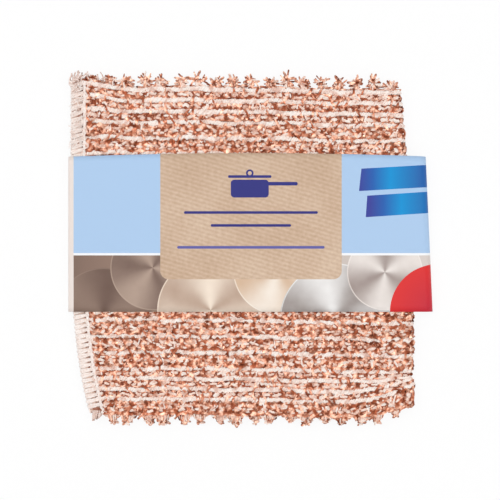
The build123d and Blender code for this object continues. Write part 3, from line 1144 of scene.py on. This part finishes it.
class Pen:
    """Draws the strip's section in XZ as a chain of edges, and keeps the length run so far."""

    def __init__(self, x, z, heading, run):
        self.bm = bmesh.new()
        self.layer = self.bm.verts.layers.float.new("run")
        self.tip = self.bm.verts.new((x, 0, z))
        self.heading = heading
        self.run = run
        self.tip[self.layer] = run

    def draw(self, place, length):
        """Draws one edge to a place."""
        new = bmesh.ops.extrude_vert_indiv(self.bm, verts=[self.tip])["verts"][0]
        new.co = place
        self.run += length
        new[self.layer] = self.run
        self.tip = new

    def straight(self, length, steps):
        way = Vector((math.cos(self.heading), 0, math.sin(self.heading)))
        for _ in range(steps):
            self.draw(self.tip.co + way * (length / steps), length / steps)

    def corner(self, radius, angle, steps):
        side = self.heading + math.copysign(math.pi / 2, angle)
        centre = self.tip.co + radius * Vector((math.cos(side), 0, math.sin(side)))
        turn = Matrix.Rotation(-angle / steps, 3, "Y")
        for _ in range(steps):
            self.draw(centre + turn @ (self.tip.co - centre), radius * abs(angle) / steps)
        self.heading += angle


def sleeve_mesh(card):
    """One strip of card: glue flap, left crease, front panel, loose right bend, back panel."""
    half = (SLEEVE_HIGH.x - SLEEVE_LOW.x) / 2 - card / 2
    high = SLEEVE_HIGH.z - card / 2
    low = card / 2
    glue = 0.1 * MM
    flap_low = card * 1.5 + glue
    flap = 29.5 * MM
    setback = 2.4 * MM
    crease = 0.8 * MM
    bend = 3.7 * MM
    quarter = math.pi / 2
    front_start = -(half - crease)
    ahead = (high - flap_low - 2 * crease) + 2 * quarter * crease + (flap - card / 2 - crease)
    pen = Pen(-half - card / 2 + flap, flap_low, math.pi, front_start - ahead)
    pen.straight(flap - card / 2 - crease, 6)
    pen.corner(crease, -quarter, 4)
    pen.straight(high - flap_low - 2 * crease, 3)
    pen.corner(crease, -quarter, 4)
    pen.straight(2 * half - crease - bend, 40)
    pen.corner(bend, -quarter, 8)
    pen.straight(high - low - 2 * bend, 1)
    pen.corner(bend, -quarter, 8)
    pen.straight(2 * half - bend - (setback - card / 2), 40)
    bm = pen.bm
    steps = 24
    bottom = SLEEVE_LOW.y
    height = SLEEVE_HIGH.y - bottom
    for vert in bm.verts:
        vert.co.y = bottom
    end = list(bm.edges)
    for _ in range(steps):
        new = moved(bm, bmesh.ops.extrude_edge_only(bm, edges=end)["geom"], (0, height / steps, 0))
        end = [e for e in new if isinstance(e, bmesh.types.BMEdge)]
    lean = 3.1 * MM
    drop = 1.6 * MM
    for vert in bm.verts:
        share = (vert.co.y - bottom) / height
        draw = lean * share * eased(vert.co.x, 20, 77)
        vert.co.x -= draw
        vert[pen.layer] -= draw
        vert.co.y -= drop * share * (vert.co.x / half) ** 2
    bmesh.ops.reverse_faces(bm, faces=bm.faces)
    uv = bm.loops.layers.uv.new("strip")
    for face in bm.faces:
        face.smooth = True
        for loop in face.loops:
            loop[uv].uv = (loop.vert[pen.layer], loop.vert.co.y)
    return finished_mesh(bm, "card_strip")


# Operators


class SCRUBBER_OT_copper_rows(bpy.types.Operator):
    """Crinkled copper loops of every row, over both layers and the fold"""

    bl_idname = "scrubber.copper_rows"
    bl_label = "Copper rows"

    def execute(self, context):
        sizes = context.scene.scrubber_sizes
        colours = context.scene.scrubber_colours
        materials = [copper_material(colours), rubbed_material(), packed_material()]
        for index, node in enumerate(COPPER):
            copper_row(node, index, sizes, materials)
        return {"FINISHED"}


class SCRUBBER_OT_cotton_chains(bpy.types.Operator):
    """Chain stitches of cotton between the copper rows, with their floats"""

    bl_idname = "scrubber.cotton_chains"
    bl_label = "Cotton chains"

    def execute(self, context):
        sizes = context.scene.scrubber_sizes
        materials = [cotton_material(context.scene.scrubber_colours)] * 2
        for index, node in enumerate(CHAINS):
            cotton_chain(node, index, sizes, materials)
        return {"FINISHED"}


class SCRUBBER_OT_end_tufts(bpy.types.Operator):
    """Copper knots along both edges: ragged stars at the top, wedges with a knob at the bottom"""

    bl_idname = "scrubber.end_tufts"
    bl_label = "End tufts"

    def execute(self, context):
        sizes = context.scene.scrubber_sizes
        colours = context.scene.scrubber_colours
        # The tufts' ribbon has its limits moved down: fewer dark patches of aged copper and painted shade,
        # more painted highlight
        materials = [copper_material(colours, "tuft_ribbon", -0.06), rubbed_material()]
        for index, node in enumerate(TUFTS):
            tuft_group(node, index, sizes, materials)
        return {"FINISHED"}


class SCRUBBER_OT_overlock(bpy.types.Operator):
    """Overlocked seam: looper threads, needle thread, cut edge inside, loose ends, tail and fibres"""

    bl_idname = "scrubber.overlock"
    bl_label = "Overlocked seam"

    def execute(self, context):
        sizes = context.scene.scrubber_sizes
        spun = thread_material(context.scene.scrubber_colours)
        thread = round_profile(sizes.thread_radius, 6)
        thin = round_profile(sizes.thread_radius * 1.1, 5)
        frayed = round_profile(sizes.thread_radius * 0.6, 5)
        rng = random.Random(4000)
        ends = loose_ends(rng) + seam_tail(rng)
        upper = [looper_line(sizes, 1, rng), edge_line(sizes, 0, rng), edge_line(sizes, math.pi, rng)]
        lower = [looper_line(sizes, -1, rng)]
        needle = [needle_line(sizes, 1, rng), needle_line(sizes, -1, rng)]
        fuzz = seam_fuzz(rng)
        ends += fuzz[::4]
        pale_fuzz = fuzz[1::4] + fuzz[2::4] + fuzz[3::4]

        def thread_mesh(name, lines, profile, resolution=3):
            return swept_mesh(name, lines, profile, resolution, "MINIMUM")

        parts = [thread_mesh("upper", upper, thread), seam_body()]
        dress("overlock_upper_looper", "_stitches", parts, [spun, seam_material()])
        parts = [thread_mesh("lower", lower, thread)]
        dress("overlock_lower_looper", "_stitches", parts, [spun])
        parts = [
            thread_mesh("needle", needle, thin, 2),
            thread_mesh("frayed", ends, frayed),
            thread_mesh("fuzz", pale_fuzz, frayed),
        ]
        materials = [spun, frayed_material(), spun]
        dress("overlock_needle_thread", "_stitches", parts, materials)
        return {"FINISHED"}


class SCRUBBER_OT_knit_ground(bpy.types.Operator):
    """Thin folded knit that carries the loops"""

    bl_idname = "scrubber.knit_ground"
    bl_label = "Knitted ground"

    def execute(self, context):
        obj = ground_sheet(ground_material())
        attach(obj, "cloth")
        widest = max(Fold(name).length for name in COPPER)
        return {"FINISHED"}


class SCRUBBER_OT_card_sleeve(bpy.types.Operator):
    """Printed card strip, glued into a flat sleeve"""

    bl_idname = "scrubber.card_sleeve"
    bl_label = "Card sleeve"

    def execute(self, context):
        card = context.scene.scrubber_sizes.card_thickness
        mesh = sleeve_mesh(card)
        mesh.materials.append(print_material(context.scene.scrubber_colours))
        mesh.materials.append(board_material())
        obj = linked("card_sleeve_strip", mesh)
        wall = thickened(obj, card)
        wall.material_offset = 1
        wall.material_offset_rim = 1
        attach(obj, "sleeve")
        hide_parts("card_sleeve")
        return {"FINISHED"}


class SCRUBBER_OT_glue_finish(bpy.types.Operator):
    """Finish of the glue line between the flap and the back panel"""

    bl_idname = "scrubber.glue_finish"
    bl_label = "Glue finish"

    def execute(self, context):
        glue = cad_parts["glue_strip"]
        glue.data.materials.clear()
        glue.data.materials.append(glue_material())
        return {"FINISHED"}


def stage_material(name, white):
    """A pale surface whose share of white shows to the camera and in gloss; the rest takes the shadow."""
    n = Nodes(name)
    n.set(Base_Color=(0.98, 0.98, 0.98, 1), Roughness=0.9)
    output = n.tree.nodes["Material Output"]
    light = n.add("ShaderNodeEmission", {"Color": (1, 1, 1, 1), "Strength": 1.0})
    path = n.add("ShaderNodeLightPath")
    seen = n.math("MAXIMUM", path.outputs["Is Camera Ray"], path.outputs["Is Glossy Ray"])
    seen = n.math("MAXIMUM", seen, path.outputs["Is Transmission Ray"])
    share = n.math("MULTIPLY", seen, white)
    mixed = n.add("ShaderNodeMixShader", {0: share, 1: n.shader.outputs[0], 2: light.outputs[0]})
    n.tree.links.new(mixed.outputs[0], output.inputs["Surface"])
    return n.block


def studio_world():
    """Even white light from above that falls off towards the horizon."""
    n = Nodes("soft_studio", world=True)
    place = n.add("ShaderNodeTexCoord").outputs["Generated"]
    height = n.add("ShaderNodeSeparateXYZ", {0: place}).outputs["Z"]
    dusk = (0.07, 0.07, 0.075, 1)
    n.link("Color", n.ramp(height, (0.4, dusk), (0.92, (1, 1, 1, 1))))
    n.set(Strength=1.43)
    return n.block


def stage_floor():
    """A round floor just under the part, with a wall round its rim."""
    radius = 3.0
    wall = 1.3
    bm = bmesh.new()
    bmesh.ops.create_circle(bm, cap_ends=True, segments=96, radius=radius)
    moved(bm, bmesh.ops.extrude_edge_only(bm, edges=list(bm.edges))["geom"], (0, 0, wall))
    for face in bm.faces:
        face.material_index = 0 if len(face.verts) > 4 else 1
    bmesh.ops.translate(bm, verts=bm.verts, vec=(0, 0, -0.1 * MM))
    mesh = finished_mesh(bm, "floor")
    mesh.materials.append(stage_material("pale_floor", 0.88))
    mesh.materials.append(stage_material("pale_backdrop", 1.0))
    return linked("floor", mesh)


class SCRUBBER_OT_stage(bpy.types.Operator):
    """Pale floor and backdrop, soft lights and the camera above the cloth"""

    bl_idname = "scrubber.stage"
    bl_label = "Stage"

    def execute(self, context):
        scene = context.scene
        scene.view_settings.view_transform = "Standard"
        stage_floor()
        scene.world = studio_world()
        for name, place, size, power in (
            ("left_softbox", (-0.3, 0.25, 0.8), 0.14, 0.5),
            ("right_softbox", (0.35, -0.05, 0.8), 0.14, 0.4),
        ):
            data = bpy.data.lights.new(name, "AREA")
            data.size = size
            data.energy = power
            lamp = linked(name, data)
            lamp.location = place
            lamp.rotation_euler = (-Vector(place)).to_track_quat("-Z", "Y").to_euler()
        height = 0.62
        seen_width = 0.2242
        data = bpy.data.cameras.new("camera")
        data.sensor_width = 36
        data.lens = data.sensor_width * height / seen_width
        camera = linked("camera", data)
        camera.location = (-0.4 * MM, 0, height + PAD_HIGH)
        scene.camera = camera
        return {"FINISHED"}


OPERATORS = (
    SCRUBBER_OT_copper_rows,
    SCRUBBER_OT_cotton_chains,
    SCRUBBER_OT_end_tufts,
    SCRUBBER_OT_overlock,
    SCRUBBER_OT_knit_ground,
    SCRUBBER_OT_card_sleeve,
    SCRUBBER_OT_glue_finish,
    SCRUBBER_OT_stage,
)


class SCRUBBER_PT_parts(bpy.types.Panel):
    """Builds each group of the cloth's pieces"""

    bl_idname = "SCRUBBER_PT_parts"
    bl_label = "Scouring cloth"
    bl_space_type = "VIEW_3D"
    bl_region_type = "UI"
    bl_category = "Scrubber"

    def draw(self, context):
        for group in (context.scene.scrubber_sizes, context.scene.scrubber_colours):
            for key in group.__annotations__:
                self.layout.prop(group, key)
        for operator in OPERATORS:
            self.layout.operator(operator.bl_idname)


CLASSES = (ScrubberSizes, ScrubberColours, *OPERATORS, SCRUBBER_PT_parts)


def register():
    for cls in CLASSES:
        bpy.utils.register_class(cls)
    bpy.types.Scene.scrubber_sizes = bpy.props.PointerProperty(type=ScrubberSizes)
    bpy.types.Scene.scrubber_colours = bpy.props.PointerProperty(type=ScrubberColours)


def unregister():
    del bpy.types.Scene.scrubber_colours
    del bpy.types.Scene.scrubber_sizes
    for cls in reversed(CLASSES):
        bpy.utils.unregister_class(cls)


def main():
    register()
    bpy.ops.scrubber.copper_rows()
    bpy.ops.scrubber.cotton_chains()
    bpy.ops.scrubber.end_tufts()
    bpy.ops.scrubber.overlock()
    bpy.ops.scrubber.knit_ground()
    bpy.ops.scrubber.card_sleeve()
    bpy.ops.scrubber.glue_finish()
    bpy.ops.scrubber.stage()


if __name__ == "__main__":
    main()
